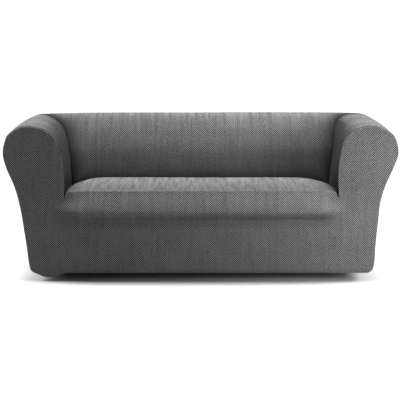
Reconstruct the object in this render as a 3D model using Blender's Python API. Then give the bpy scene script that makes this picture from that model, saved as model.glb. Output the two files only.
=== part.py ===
"""A fitted stretch sofa slipcover with rolled arms: six sewn panels, hollow and open below.

Metres, +Z up, +X to the right as seen from the front, and the front faces -Y. Sizes are given
from the floor and from the front of the arms. The whole cover is then moved so that the origin
lies under the crest of the back, where the cover is held up.
"""
import bpy
import bmesh
from math import cos, exp, pi, radians, sin
from mathutils import Vector

# ---- sheet and seams
THICKNESS = 0.002            # the knit, face to back
SEAM_GAP = 0.00036           # between two panels where they meet
TIGHTEST_VALLEY = 0.15       # sine of half the sharpest opening at which that gap is kept
RIM_RADIUS = 0.009           # how softly a flat panel turns over onto its neighbour
RIM_TURNS = (30, 60, 90)     # degrees of that turn, one row of faces each

# ---- overall sizes
HEM_HEIGHT = 0.043           # hem above the floor
REAR_PLANE = 0.820           # front of the arms to the rear of the cover
SEAT_HEIGHT = 0.471          # top of the seat at its front seam
SEAT_CROWN = 0.005           # how much the middle of the seat stands above that
SEAT_FLAT = 0.510            # half-width of the seat before its sides fall to the arms
FALL_FRONT = 24.0            # how late the sides fall at the front edge: a tight tucked corner
FALL_MIDDLE = 2.7            # and halfway back
FALL_REAR = 2.0              # and at the back: a soft shoulder
CREVICE = 0.018              # how far the seat dips into the crevice at the back

# ---- the front
CUSHION_SWELL = 0.042        # the cushion's front stands this far in front of the arms
CUSHION_MIDDLE = 0.365       # height of the fullest part of that front
CUSHION_RISE = 0.120         # height over which it leans back above that
CUSHION_TUCK = 0.060         # height over which it tucks under below that
CUSHION_FULL = 0.545         # half-width over which it is full, at the top
CUSHION_END = 0.730          # half-width at which it has died out there
CUSHION_SPREAD = 0.045       # both are this much wider at the fullest part
CREASE_HEIGHT = 0.322        # soft crease under the cushion
CREASE_DEPTH = 0.007
CREASE_WIDTH = 0.016
CREASE_WAVE = 0.004          # the crease wanders up and down by this
CREASE_LIFT = 0.020          # and rises by this towards the arms
ARM_END_SWELL = 0.007        # soft dome of the stuffed arm front
ARM_END_PLACE = 0.852        # middle of that dome, from the cover's own middle
ARM_END_HEIGHT = 0.630
ARM_END_HALF_WIDTH = 0.150
ARM_END_HALF_HEIGHT = 0.170
HEM_CURL = 0.008             # the front hem turns in by this
REAR_CURL = 0.006            # and the rear hem by this
HEM_CURL_RISE = 0.022        # both over this height
HEM_DIP = 0.021              # the front hem sags by this near its left end
HEM_DIP_PLACE = -0.773
HEM_DIP_HALF = 0.085

COLUMNS = 24                 # across the seat and the back
DEPTH_ROWS = 10              # along the arms and the seat, front to back
COLUMN_CROWDING = 0.80       # 0 spaces the columns evenly, 1 crowds them at the arms

# Lines that run along each arm from front to back, in order from the seat over the roll to
# the hem. steps is the number of faces up to the next line.
# place, steps, height, left_x, right_x
ARM_FRONT = (
    ("seat_valley", 2, 0.430, 0.690, 0.7045),
    ("inside_low", 2, 0.540, 0.688, 0.6975),
    ("inside_high", 2, 0.630, 0.697, 0.703),
    ("inner_shoulder", 2, 0.7156, 0.7194, 0.7210),
    ("roll_inner", 2, 0.7586, 0.7512, 0.7500),
    ("roll_rise", 1, 0.7845, 0.7912, 0.7890),
    ("roll_near_top", 1, 0.7970, 0.8350, 0.8330),
    ("roll_top", 1, 0.8010, 0.8766, 0.8740),
    ("roll_fall", 2, 0.7935, 0.9150, 0.9150),
    ("rear_corner", 1, 0.7710, 0.9530, 0.9560),
    ("outer_shoulder", 3, 0.7410, 0.9810, 0.9870),
    ("widest", 2, 0.6650, 1.0005, 1.0060),
    ("under_roll", 2, 0.5900, 0.9860, 0.9830),
    ("waist", 2, 0.5000, 0.9490, 0.9460),
    ("outside_high", 2, 0.4100, 0.9240, 0.9210),
    ("outside_middle", 2, 0.3100, 0.9070, 0.9120),
    ("outside_low", 2, 0.1900, 0.8910, 0.9020),
    ("hem_top", 1, 0.1000, 0.8810, 0.8970),
    ("hem_bend", 2, 0.0600, 0.8730, 0.8880),
    ("hem", 0, HEM_HEIGHT, 0.8580, 0.8680),
)
# The same lines where the back stops them, and the back's own section halfway between the arms.
# place, left_x, left_height, right_x, right_height, y, middle_y, middle_height
BACK_SEAM = (
    ("seat_valley", 0.7040, 0.412, 0.7070, 0.422, 0.505, 0.505, 0.455),
    ("inside_low", 0.7095, 0.530, 0.7175, 0.532, 0.522, 0.527, 0.545),
    ("inside_high", 0.7205, 0.622, 0.7300, 0.622, 0.545, 0.549, 0.628),
    ("inner_shoulder", 0.7420, 0.706, 0.7420, 0.708, 0.588, 0.588, 0.712),
    ("roll_inner", 0.7700, 0.751, 0.7540, 0.752, 0.617, 0.616, 0.755),
    ("roll_rise", 0.8060, 0.778, 0.7700, 0.779, 0.640, 0.640, 0.782),
    ("roll_near_top", 0.8430, 0.793, 0.8040, 0.795, 0.668, 0.664, 0.798),
    ("roll_top", 0.8760, 0.797, 0.8520, 0.801, 0.708, 0.704, 0.806),
    ("roll_fall", 0.9060, 0.793, 0.8990, 0.797, 0.764, 0.762, 0.802),
    ("rear_corner", 0.9350, 0.782, 0.9390, 0.784, 0.811, 0.811, 0.788),
)
REAR_FULLNESS = 0.010        # the outside of the roll stands this much higher at the rear
REAR_BOW = 0.006             # the outside back bows out by this in its middle
REAR_BOW_HALF = 0.900        # half-width over which it does
REAR_BOW_RISE = 0.750        # and the height
# Rows of faces from the hem up to the crease, and from the crease up to the seat's front seam.
APRON_ROWS = (0.0, 0.06, 0.26, 0.50, 0.74, 0.91, 1.0)
CUSHION_ROWS = (0.10, 0.22, 0.36, 0.56, 0.78, 1.0)
VALLEY_RISE = 0.040          # how much the valley between seat and arm is arched
ROLL_SWELL = 0.009           # the stuffed roll stands up by this halfway along the arm
WALL_SLACK = 0.004           # and the outside below it draws in by this

LEFT = -1
RIGHT = 1
CREST = dict((row[0], row) for row in BACK_SEAM)["roll_top"]
ORIGIN = Vector((0.0, CREST[6], CREST[7] - THICKNESS))


def clamp(value, low=0.0, high=1.0):
    return max(low, min(high, value))


def ease(start, end, value):
    """0 before start, 1 after end, smooth between."""
    t = clamp((value - start) / (end - start))
    return t * t * (3.0 - 2.0 * t)


def spline(rows, s):
    """A smooth curve through rows of numbers, read at s, where a whole s is a row."""
    last = len(rows) - 1
    i = min(int(s), last - 1)
    t = s - i
    before = rows[max(i - 1, 0)]
    after = rows[min(i + 2, last)]
    point = []
    for a, b, c, d in zip(before, rows[i], rows[i + 1], after):
        slope_b = (c - a) / 2.0
        slope_c = (d - b) / 2.0
        turn = 3.0 * (c - b) - 2.0 * slope_b - slope_c
        twist = 2.0 * (b - c) + slope_b + slope_c
        point.append(b + t * (slope_b + t * (turn + t * twist)))
    return point


def arm_stations():
    """Where along the arm's lines its faces have corners, and the index of each named place."""
    stations = []
    index_of = {}
    for i, (place, steps, *_) in enumerate(ARM_FRONT):
        index_of[place] = len(stations)
        stations += [i + k / steps for k in range(steps)] or [float(i)]
    return stations, index_of


STATIONS, AT = arm_stations()
VALLEY = 0
LAST = len(STATIONS) - 1


# ---- the seam lines that panels share

def arm_front(side, i):
    """Seam point on the arm's front, at station i."""
    z, left_x, right_x = spline([row[2:] for row in ARM_FRONT], STATIONS[i])
    x = left_x if side == LEFT else right_x
    return Vector((side * x, RIM_RADIUS, z))


def arm_rear(side, i):
    """The point at station i where the arm panel ends: on the back, or at the rear."""
    if i > AT["rear_corner"]:
        front = arm_front(side, i)
        full = REAR_FULLNESS * (1.0 - ease(AT["outer_shoulder"], AT["under_roll"], i))
        return Vector((front.x, REAR_PLANE - RIM_RADIUS, front.z + full))
    left_x, left_z, right_x, right_z, y, _, _ = spline([row[1:] for row in BACK_SEAM], STATIONS[i])
    if side == LEFT:
        return Vector((-left_x, y, left_z))
    return Vector((right_x, y, right_z))


def valley_rise(v):
    """How far the seat's valley lies above a straight line, at share v of the way back."""
    return VALLEY_RISE * ease(0.0, 0.25, v) * (1.0 - v) ** 0.55


def arm_point(side, i, j):
    """Point of the arm panel: station i, j rows back from the front seam."""
    v = j / DEPTH_ROWS
    point = arm_front(side, i).lerp(arm_rear(side, i), v)
    if i <= AT["inside_low"]:
        point.z += valley_rise(v) * (1.0 - i / AT["inside_low"])
    rise = ease(AT["inner_shoulder"], AT["roll_rise"], i)
    rise *= 1.0 - ease(AT["rear_corner"], AT["under_roll"], i)
    point.z += ROLL_SWELL * sin(pi * v) * rise
    if i > AT["widest"]:
        below = sin(pi * (i - AT["widest"]) / (LAST - AT["widest"]))
        point.x -= side * WALL_SLACK * sin(pi * v) * below
    return point


def column_share(c):
    """Column c across, from -1 at the left arm to 1 at the right, crowded at the arms."""
    u = 2.0 * c / COLUMNS - 1.0
    if abs(u) == 1.0:
        return u
    return (1.0 - COLUMN_CROWDING) * u + COLUMN_CROWDING * sin(pi * u / 2.0)


def side_share(x, edge, flat):
    """0 over the flat middle, rising to 1 at the arm."""
    return clamp((abs(x) - flat) / (abs(edge) - flat))


def hem_height(x):
    dip = HEM_DIP * (1.0 - ease(0.25, 1.0, abs(x - HEM_DIP_PLACE) / HEM_DIP_HALF))
    return HEM_HEIGHT - dip


def crease_height(x):
    wave = CREASE_WAVE * sin(2.3 * x + 0.6)
    return CREASE_HEIGHT + wave + CREASE_LIFT * ease(0.58, 0.72, abs(x))


def front_depth(x, z):
    """How far back the face of the front panel lies at (x, z). Forwards is negative."""
    out = CUSHION_SPREAD * (1.0 - ease(0.37, 0.44, z))
    fade = 1.0 - ease(CUSHION_FULL, CUSHION_END, abs(x) - out)
    rise = clamp((z - CUSHION_MIDDLE) / CUSHION_RISE)
    tuck = clamp((CUSHION_MIDDLE - z) / CUSHION_TUCK)
    swell = CUSHION_SWELL * (0.5 + 0.5 * cos(pi * tuck) - rise ** 1.35) * fade
    crease = CREASE_DEPTH * exp(-((z - crease_height(x)) / CREASE_WIDTH) ** 2) * fade
    oval = 1.0 - ((abs(x) - ARM_END_PLACE) / ARM_END_HALF_WIDTH) ** 2
    oval -= ((z - ARM_END_HEIGHT) / ARM_END_HALF_HEIGHT) ** 2
    curl = HEM_CURL * (1.0 - ease(0.0, HEM_CURL_RISE, z - hem_height(x)))
    return crease + curl - swell - ARM_END_SWELL * clamp(oval)


def seat_front(c):
    """Seam point between seat and front panel at column c."""
    share = column_share(c)
    side = LEFT if share < 0 else RIGHT
    corner = arm_front(side, VALLEY)
    x = abs(share) * corner.x
    z = SEAT_HEIGHT + (corner.z - SEAT_HEIGHT) * side_share(x, corner.x, SEAT_FLAT) ** FALL_FRONT
    return Vector((x, front_depth(x, z - RIM_RADIUS) + RIM_RADIUS, z))


def outward(path, i):
    """Unit normal of a path in the x-z plane, on the left of its direction."""
    before = path[i] - path[max(i - 1, 0)]
    after = path[min(i + 1, len(path) - 1)] - path[i]
    normal = Vector((0.0, 0.0, 0.0))
    for leg in (before, after):
        leg = Vector((leg.x, 0.0, leg.z))
        if leg.length > 0.0:
            leg.normalize()
            normal += Vector((-leg.z, 0.0, leg.x))
    return normal.normalized()


def front_path():
    """Edge of the front panel: left hem, over the arm, along the seat, over the other arm."""
    left = [arm_front(LEFT, i) for i in range(LAST, -1, -1)]
    middle = [seat_front(c) for c in range(1, COLUMNS)]
    right = [arm_front(RIGHT, i) for i in range(LAST + 1)]
    return left + middle + right


def rim(path, depth_at):
    """Rows from the flat face (first) round to the seam (last) along an edge path."""
    inset = []
    turns = []
    for i, point in enumerate(path):
        normal = outward(path, i)
        if i in (0, len(path) - 1):
            normal = Vector((-1.0 if i == 0 else 1.0, 0.0, 0.0))
        flat = point - normal * RIM_RADIUS
        flat.y = depth_at(flat.x, flat.z)
        inset.append(flat)
        turns.append((point - flat, Vector((0.0, point.y - flat.y, 0.0))))
    rows = [inset]
    for turn in RIM_TURNS[:-1]:
        angle = radians(turn)
        row = []
        for flat, (reach, back) in zip(inset, turns):
            row.append(flat + (reach - back) * sin(angle) + back * (1.0 - cos(angle)))
        rows.append(row)
    rows.append(list(path))
    return rows


FRONT_RIM = rim(front_path(), front_depth)


def rear_depth(x, z):
    """How far back the face of the outside back lies at (x, z): flat, a little bowed."""
    up = sin(pi * clamp((z - HEM_HEIGHT) / REAR_BOW_RISE))
    bow = REAR_BOW * clamp(1.0 - (x / REAR_BOW_HALF) ** 2) * up
    return REAR_PLANE + bow - REAR_CURL * (1.0 - ease(0.0, HEM_CURL_RISE, z - HEM_HEIGHT))


def crest_point(c, i):
    """Point of the inside back: column c, station i up the back and over its crest."""
    share = column_share(c)
    side = LEFT if share < 0 else RIGHT
    edge = arm_rear(side, i)
    middle_y, middle_z = spline([row[6:] for row in BACK_SEAM], STATIONS[i])
    x = abs(share) * edge.x
    pull = side_share(x, edge.x, SEAT_FLAT) ** FALL_REAR
    y = middle_y + (edge.y - middle_y) * pull
    return Vector((x, y, middle_z + (edge.z - middle_z) * pull))


def rear_path():
    """Edge of the outside back: left hem, up the arm, along the crest, down the other arm."""
    corner = AT["rear_corner"]
    left = [arm_rear(LEFT, i) for i in range(LAST, corner - 1, -1)]
    middle = [crest_point(c, corner) for c in range(1, COLUMNS)]
    right = [arm_rear(RIGHT, i) for i in range(corner, LAST + 1)]
    return left + middle + right


def coons(bottom, top, first, last):
    """Grid of points filling four edges. bottom and top run across, first and last run up."""
    across = len(bottom) - 1
    up = len(first) - 1
    grid = []
    for r in range(up + 1):
        v = r / up
        row = []
        for c in range(across + 1):
            u = c / across
            ruled = bottom[c] * (1 - v) + top[c] * v + first[r] * (1 - u) + last[r] * u
            corners = (bottom[0] * (1 - u) + bottom[-1] * u) * (1 - v)
            corners += (top[0] * (1 - u) + top[-1] * u) * v
            row.append(ruled - corners)
        row[0] = first[r]
        row[-1] = last[r]
        grid.append(row)
    grid[0] = list(bottom)
    grid[-1] = list(top)
    return grid


# ---- the panels, each a list of quads on the cover's outer face, corners counter-clockwise

def grid_quads(grid, flip=False):
    quads = []
    for low, high in zip(grid, grid[1:]):
        for c in range(len(low) - 1):
            quad = (low[c], low[c + 1], high[c + 1], high[c])
            quads.append(quad[::-1] if flip else quad)
    return quads


def laid_on(grid, depth_at):
    """The grid with its depth read from the face function, but for points already placed."""
    for row in grid[1:-1]:
        for point in row[1:-1]:
            point.y = depth_at(point.x, point.z)
    return grid


def front_column(x, top):
    """Points up the front face at x, from the hem to the height top."""
    hem = hem_height(x)
    crease = crease_height(x)
    heights = [hem + (crease - hem) * share for share in APRON_ROWS]
    heights += [crease + (top.z - crease) * share for share in CUSHION_ROWS]
    lean = [(h - hem) / (top.z - hem) for h in heights]
    points = [Vector((x + (top.x - x) * t, 0.0, h)) for t, h in zip(lean, heights)]
    for point in points:
        point.y = front_depth(point.x, point.z)
    points[-1] = top.copy()
    return points


def front_panel():
    inset = FRONT_RIM[0]
    left_corner = LAST
    right_corner = LAST + COLUMNS
    columns = []
    for k in range(left_corner, right_corner + 1):
        columns.append(front_column(inset[k].x, inset[k]))
    middle = [list(row) for row in zip(*columns)]
    quads = grid_quads(middle)
    shoulder = AT["inner_shoulder"]
    outer = AT["outer_shoulder"]
    across = outer - shoulder
    for side, corner, inner in ((LEFT, left_corner, columns[0]), (RIGHT, right_corner, columns[-1])):
        def on_arm(i):
            return inset[corner + side * i]
        first = inner + [on_arm(i) for i in range(1, shoulder + 1)]
        top = [on_arm(i) for i in range(shoulder, outer + 1)]
        last = [on_arm(i) for i in range(LAST, outer - 1, -1)]
        bottom = []
        for c in range(across + 1):
            x = first[0].x + (last[0].x - first[0].x) * c / across
            bottom.append(Vector((x, 0.0, hem_height(x))))
        bottom[0] = first[0]
        bottom[-1] = last[0]
        for point in bottom[1:-1]:
            point.y = front_depth(point.x, point.z)
        grid = coons(bottom, top, first, last)
        quads += grid_quads(laid_on(grid, front_depth), flip=side == LEFT)
    return quads + grid_quads(FRONT_RIM)


def arm_panel(side):
    grid = [[arm_point(side, i, j) for j in range(DEPTH_ROWS + 1)] for i in range(LAST + 1)]
    return grid_quads(grid, flip=side == RIGHT)


def seat_panel():
    grid = []
    front_row = FRONT_RIM[-1][LAST:LAST + COLUMNS + 1]
    for j in range(DEPTH_ROWS + 1):
        v = j / DEPTH_ROWS
        row = []
        for c in range(COLUMNS + 1):
            share = column_share(c)
            side = LEFT if share < 0 else RIGHT
            valley = arm_point(side, VALLEY, j)
            rear = crest_point(c, VALLEY)
            x = abs(share) * valley.x
            lateness = FALL_MIDDLE + (FALL_FRONT - FALL_MIDDLE) * (1.0 - v) ** 8
            lateness -= (FALL_MIDDLE - FALL_REAR) * ease(0.75, 1.0, v)
            fall = side_share(x, valley.x, SEAT_FLAT) ** lateness
            top = SEAT_HEIGHT + SEAT_CROWN * sin(pi * v * 0.75)
            top -= CREVICE * ease(0.90, 1.0, v)
            y = front_row[c].y + (rear.y - front_row[c].y) * v
            row.append(Vector((x, y, top + (valley.z - top) * fall)))
        row[0] = arm_point(LEFT, VALLEY, j)
        row[-1] = arm_point(RIGHT, VALLEY, j)
        grid.append(row)
    grid[0] = front_row
    grid[-1] = [crest_point(c, VALLEY) for c in range(COLUMNS + 1)]
    return grid_quads(grid)


def inside_back_panel():
    rows = range(AT["rear_corner"] + 1)
    return grid_quads([[crest_point(c, i) for c in range(COLUMNS + 1)] for i in rows])


def outside_back_panel():
    rows = rim(rear_path(), rear_depth)
    inset = rows[0]
    up = LAST - AT["outer_shoulder"]
    first = inset[:up + 1]
    last = inset[::-1][:up + 1]
    top = inset[up:len(inset) - up]
    across = len(top) - 1
    bottom = [first[0].lerp(last[0], c / across) for c in range(across + 1)]
    for point in bottom[1:-1]:
        point.y = rear_depth(point.x, point.z)
    grid = laid_on(coons(bottom, top, first, last), rear_depth)
    return grid_quads(grid, flip=True) + grid_quads(rows, flip=True)


# ---- from outer faces to closed sheets

def key(point):
    return tuple(round(value, 6) for value in point)


def face_normal(quad):
    return (quad[2] - quad[0]).cross(quad[3] - quad[1])


def shared_normals(panels):
    """Normal of the whole cover at each corner, halfway between the panels that meet there."""
    normals = {}
    for quads in panels.values():
        own = {}
        for quad in quads:
            normal = face_normal(quad)
            for point in quad:
                own[key(point)] = own.get(key(point), Vector()) + normal
        for place, normal in own.items():
            normals[place] = normals.get(place, Vector()) + normal.normalized()
    return {place: normal.normalized() for place, normal in normals.items()}


def seam_places(panels):
    """Corners that more than one panel has."""
    owners = {}
    for name, quads in panels.items():
        for quad in quads:
            for point in quad:
                owners.setdefault(key(point), set()).add(name)
    return {place for place, names in owners.items() if len(names) > 1}


def step_back(vertex, normal, seams):
    """How a corner on a seam moves into its own panel, to leave the gap between panels."""
    pulls = []
    for edge in vertex.link_edges:
        if not edge.is_boundary or not all(key(v.co) in seams for v in edge.verts):
            continue
        face = edge.link_faces[0]
        along = (edge.verts[1].co - edge.verts[0].co).normalized()
        pull = face.normal.cross(along).normalized()
        if pull.dot(face.calc_center_median() - edge.verts[0].co) < 0.0:
            pull = -pull
        opening = max(normal.dot(face.normal), TIGHTEST_VALLEY)
        pulls.append(pull * (SEAM_GAP / 2.0 / opening))
    if len(pulls) < 2:
        return sum(pulls, Vector())
    together = pulls[0] + pulls[1]
    spread = 1.0 + pulls[0].normalized().dot(pulls[1].normalized())
    return together / max(spread, 0.3)


def sheet_mesh(name, quads, normals, seams):
    """A closed sheet: the outer faces, extruded inwards by the cloth's thickness."""
    bm = bmesh.new()
    vertices = {}
    for quad in quads:
        corners = []
        for point in quad:
            place = key(point)
            if place not in vertices:
                vertices[place] = bm.verts.new(point)
            if vertices[place] not in corners:
                corners.append(vertices[place])
        if len(corners) > 2:
            bm.faces.new(corners)
    bm.normal_update()
    moves = {}
    inward = {}
    rank = {vertex: key(vertex.co) for vertex in bm.verts}
    for vertex in bm.verts:
        normal = normals[key(vertex.co)]
        lean = [normal.dot(face.normal) for face in vertex.link_faces]
        inward[vertex] = -normal * THICKNESS / max(sum(lean) / len(lean), 0.6)
        moves[vertex] = step_back(vertex, normal, seams)
    for vertex, move in moves.items():
        vertex.co += move
    outer_faces = list(bm.faces)
    border = [edge.link_loops[0] for edge in bm.edges if edge.is_boundary]
    under = {vertex: bm.verts.new(vertex.co + inward[vertex]) for vertex in rank}
    for face in outer_faces:
        bm.faces.new([under[vertex] for vertex in reversed(face.verts)])
    for start, end in [(loop.vert, loop.link_loop_next.vert) for loop in border]:
        if rank[start] < rank[end]:
            bm.faces.new((end, start, under[end]))
            bm.faces.new((start, under[start], under[end]))
        else:
            bm.faces.new((end, start, under[start]))
            bm.faces.new((end, under[start], under[end]))
    for vertex in bm.verts:
        vertex.co -= ORIGIN
    mesh = bpy.data.meshes.new(name)
    bm.to_mesh(mesh)
    bm.free()
    return mesh


def cloth_material():
    """Dark grey stretch knit."""
    material = bpy.data.materials.new("charcoal_knit")
    material.use_nodes = True
    shader = material.node_tree.nodes["Principled BSDF"]
    shader.inputs["Base Color"].default_value = (0.085, 0.086, 0.089, 1.0)
    shader.inputs["Roughness"].default_value = 0.92
    shader.inputs["Metallic"].default_value = 0.0
    return material


def main():
    for item in list(bpy.data.objects):
        bpy.data.objects.remove(item, do_unlink=True)
    panels = {
        "front_panel": front_panel(),
        "seat_panel": seat_panel(),
        "inside_back_panel": inside_back_panel(),
        "outside_back_panel": outside_back_panel(),
        "arm_panel_left": arm_panel(LEFT),
        "arm_panel_right": arm_panel(RIGHT),
    }
    normals = shared_normals(panels)
    seams = seam_places(panels)
    material = cloth_material()
    for name, quads in panels.items():
        mesh = sheet_mesh(name, quads, normals, seams)
        mesh.materials.append(material)
        mesh.shade_smooth()
        mesh.set_sharp_from_angle(angle=radians(40.0))
        bpy.context.scene.collection.objects.link(bpy.data.objects.new(name, mesh))


main()
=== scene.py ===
"""A fitted stretch sofa slipcover with rolled arms, dressed for its picture.

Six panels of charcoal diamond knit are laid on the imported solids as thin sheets, with the seams
drawn in, the hem curled in and stitched, and the soft creases of the stretched cloth. Lengths
are in metres. Sizes of the panels are given from the floor and from the front of the arms, and
the whole cover is then moved so that the origin lies under the crest of the back.
"""

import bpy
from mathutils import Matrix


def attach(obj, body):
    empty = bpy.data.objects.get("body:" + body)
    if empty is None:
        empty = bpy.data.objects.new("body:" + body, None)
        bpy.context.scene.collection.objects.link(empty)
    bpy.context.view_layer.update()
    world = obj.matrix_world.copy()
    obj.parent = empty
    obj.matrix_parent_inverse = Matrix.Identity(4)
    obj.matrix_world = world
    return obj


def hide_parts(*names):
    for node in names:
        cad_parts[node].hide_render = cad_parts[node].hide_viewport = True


bl_info = {
    "name": "Sofa Slipcover",
    "version": (1, 0, 0),
    "blender": (4, 5, 0),
    "location": "3D View > Sidebar > Slipcover",
    "description": "Builds the knitted panels, seams and hem of a fitted sofa slipcover",
    "category": "Add Mesh",
}

from math import pi, radians

import bpy
import numpy as np
from bpy.props import FloatProperty, FloatVectorProperty, IntProperty, PointerProperty
from mathutils import Vector, noise
from mathutils.kdtree import KDTree

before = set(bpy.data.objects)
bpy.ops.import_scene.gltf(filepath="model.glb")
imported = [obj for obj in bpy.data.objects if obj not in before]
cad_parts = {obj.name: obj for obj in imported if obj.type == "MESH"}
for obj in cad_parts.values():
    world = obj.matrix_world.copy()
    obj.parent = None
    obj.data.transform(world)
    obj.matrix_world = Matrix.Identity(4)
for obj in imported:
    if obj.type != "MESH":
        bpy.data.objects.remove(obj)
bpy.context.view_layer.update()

# ---- sheet and seams
THICKNESS = 0.002
SEAM_GAP = 0.0004
RIM_RADIUS = 0.009           # how softly a flat panel turns over onto its neighbour
RIM_TURNS = 8                # rows of faces in that turn
KEY_STEP = 1e-6              # points nearer than this are one point
LEAST_LEAN = 0.6             # keeps the sheet's back from running away at a sharp corner
SHARP_ANGLE = 50.0           # degrees past which an edge isn't shaded smooth

# ---- overall sizes
HEM_HEIGHT = 0.043
REAR_PLANE = 0.820
SEAT_HEIGHT = 0.471
SEAT_CROWN = 0.005
SEAT_CROWN_TURN = 0.75       # half turns of the crown's sine from front to back
SEAT_FLAT = 0.510            # half-width of the seat before its sides fall to the arms
FALL_FRONT = 24.0            # how late the sides fall at the front edge
FALL_MIDDLE = 2.7
FALL_REAR = 2.0
FALL_SHIFT = 8               # how soon behind the front edge that becomes the middle's
FALL_REAR_SPAN = (0.75, 1.0)   # share of the way back over which it becomes the rear's
CREVICE = 0.018              # how far the seat dips at the back
CREVICE_SPAN = (0.90, 1.0)   # share of the way back over which it does

# ---- the front
CUSHION_SWELL = 0.042        # the cushion's front stands this far in front of the arms
CUSHION_MIDDLE = 0.365       # height of the fullest part of that front
CUSHION_RISE = 0.120         # height over which it leans back above that
CUSHION_LEAN = 1.35          # how late it leans back: 1 is a straight slope
CUSHION_TUCK = 0.060         # height over which it tucks under below that
CUSHION_FULL = 0.545         # half-width over which it is full, at the top
CUSHION_END = 0.730          # half-width at which it has died out there
CUSHION_SPREAD = 0.045       # both are this much wider at the fullest part
CUSHION_SPREAD_TOP = (0.37, 0.44)   # heights between which that dies out
CREASE_HEIGHT = 0.322
CREASE_DEPTH = 0.007
CREASE_WIDTH = 0.016
CREASE_WAVE = 0.004          # the crease wanders up and down by this
CREASE_WAVE_TURN = 2.3       # radians of that wave in each metre across
CREASE_WAVE_START = 0.6
CREASE_LIFT = 0.020          # and rises by this towards the arms
CREASE_LIFT_SPAN = (0.58, 0.72)
ARM_END_SWELL = 0.007        # soft dome of the stuffed arm front
ARM_END_PLACE = 0.852
ARM_END_HEIGHT = 0.630
ARM_END_HALF_WIDTH = 0.150
ARM_END_HALF_HEIGHT = 0.170
HEM_CURL = 0.008             # the front hem turns in by this
REAR_CURL = 0.006
HEM_CURL_RISE = 0.022
HEM_DIP = 0.021              # the front hem sags by this near its left end
HEM_DIP_PLACE = -0.773
HEM_DIP_HALF = 0.085
HEM_DIP_FLAT = 0.25          # share of that half-width over which it sags most

COLUMNS = 24
COLUMN_CROWDING = 0.80       # 0 spaces the columns evenly, 1 crowds them at the arms

# Lines that run along each arm from front to back, in order from the seat over the roll to
# the hem. steps is the number of faces up to the next line, before FINENESS divides them.
# place, steps, height, left_x, right_x
ARM_FRONT = (
    ("seat_valley", 2, 0.430, 0.690, 0.7045),
    ("inside_low", 2, 0.540, 0.688, 0.6975),
    ("inside_high", 2, 0.630, 0.697, 0.703),
    ("inner_shoulder", 2, 0.7156, 0.7194, 0.7210),
    ("roll_inner", 2, 0.7586, 0.7512, 0.7500),
    ("roll_rise", 1, 0.7845, 0.7912, 0.7890),
    ("roll_near_top", 1, 0.7970, 0.8350, 0.8330),
    ("roll_top", 1, 0.8010, 0.8766, 0.8740),
    ("roll_fall", 2, 0.7935, 0.9150, 0.9150),
    ("rear_corner", 1, 0.7710, 0.9530, 0.9560),
    ("outer_shoulder", 3, 0.7410, 0.9810, 0.9870),
    ("widest", 2, 0.6650, 1.0005, 1.0060),
    ("under_roll", 2, 0.5900, 0.9860, 0.9830),
    ("waist", 2, 0.5000, 0.9490, 0.9460),
    ("outside_high", 2, 0.4100, 0.9240, 0.9210),
    ("outside_middle", 2, 0.3100, 0.9070, 0.9120),
    ("outside_low", 2, 0.1900, 0.8910, 0.9020),
    ("hem_top", 1, 0.1000, 0.8810, 0.8970),
    ("hem_bend", 2, 0.0600, 0.8730, 0.8880),
    ("hem", 0, HEM_HEIGHT, 0.8580, 0.8680),
)
# The same lines where the back stops them, and the back's own section halfway between the arms.
# place, left_x, left_height, right_x, right_height, y, middle_y, middle_height
BACK_SEAM = (
    ("seat_valley", 0.7040, 0.412, 0.7070, 0.422, 0.505, 0.505, 0.455),
    ("inside_low", 0.7095, 0.530, 0.7175, 0.532, 0.522, 0.527, 0.545),
    ("inside_high", 0.7205, 0.622, 0.7300, 0.622, 0.545, 0.549, 0.628),
    ("inner_shoulder", 0.7420, 0.706, 0.7420, 0.708, 0.588, 0.588, 0.712),
    ("roll_inner", 0.7700, 0.751, 0.7540, 0.752, 0.617, 0.616, 0.755),
    ("roll_rise", 0.8060, 0.778, 0.7700, 0.779, 0.640, 0.640, 0.782),
    ("roll_near_top", 0.8430, 0.793, 0.8040, 0.795, 0.668, 0.664, 0.798),
    ("roll_top", 0.8760, 0.797, 0.8520, 0.801, 0.708, 0.704, 0.806),
    ("roll_fall", 0.9060, 0.793, 0.8990, 0.797, 0.764, 0.762, 0.802),
    ("rear_corner", 0.9350, 0.782, 0.9390, 0.784, 0.811, 0.811, 0.788),
)
REAR_FULLNESS = 0.010        # the outside of the roll stands this much higher at the rear
REAR_BOW = 0.006             # the outside back bows out by this in its middle
REAR_BOW_HALF = 0.900
REAR_BOW_RISE = 0.750
# Rows of faces from the hem up to the crease, and from the crease up to the seat's front seam.
APRON_ROWS = (0.0, 0.06, 0.26, 0.50, 0.74, 0.91, 1.0)
CUSHION_ROWS = (0.10, 0.22, 0.36, 0.56, 0.78, 1.0)
VALLEY_RISE = 0.040          # how much the valley between seat and arm is arched
VALLEY_FULL = 0.25           # share of the way back at which the arch is full
VALLEY_FALL = 0.55           # how it comes down from there: 1 is straight, less is later
ROLL_SWELL = 0.009           # the stuffed roll stands up by this halfway along the arm
WALL_SLACK = 0.004           # and the outside below it draws in by this

# ---- finer than the solids
FINENESS = 6                 # faces here for each face of the solids
DEPTH_ROWS = 44              # along the arms and the seat
NEAR_SEAM = (0.0, 0.002, 0.004, 0.0065, 0.010, 0.015, 0.022)   # more rows this far from a seam
SMALL_SWELL = 0.4            # height of the small swells, as a share of the slow ones
SMALL_SWELL_SCALE = 2.7      # and how many there are for each slow one
HEM_LINE = 0.018             # the hem's stitching lies this far above its edge
HEM_POINTS = 400

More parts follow.
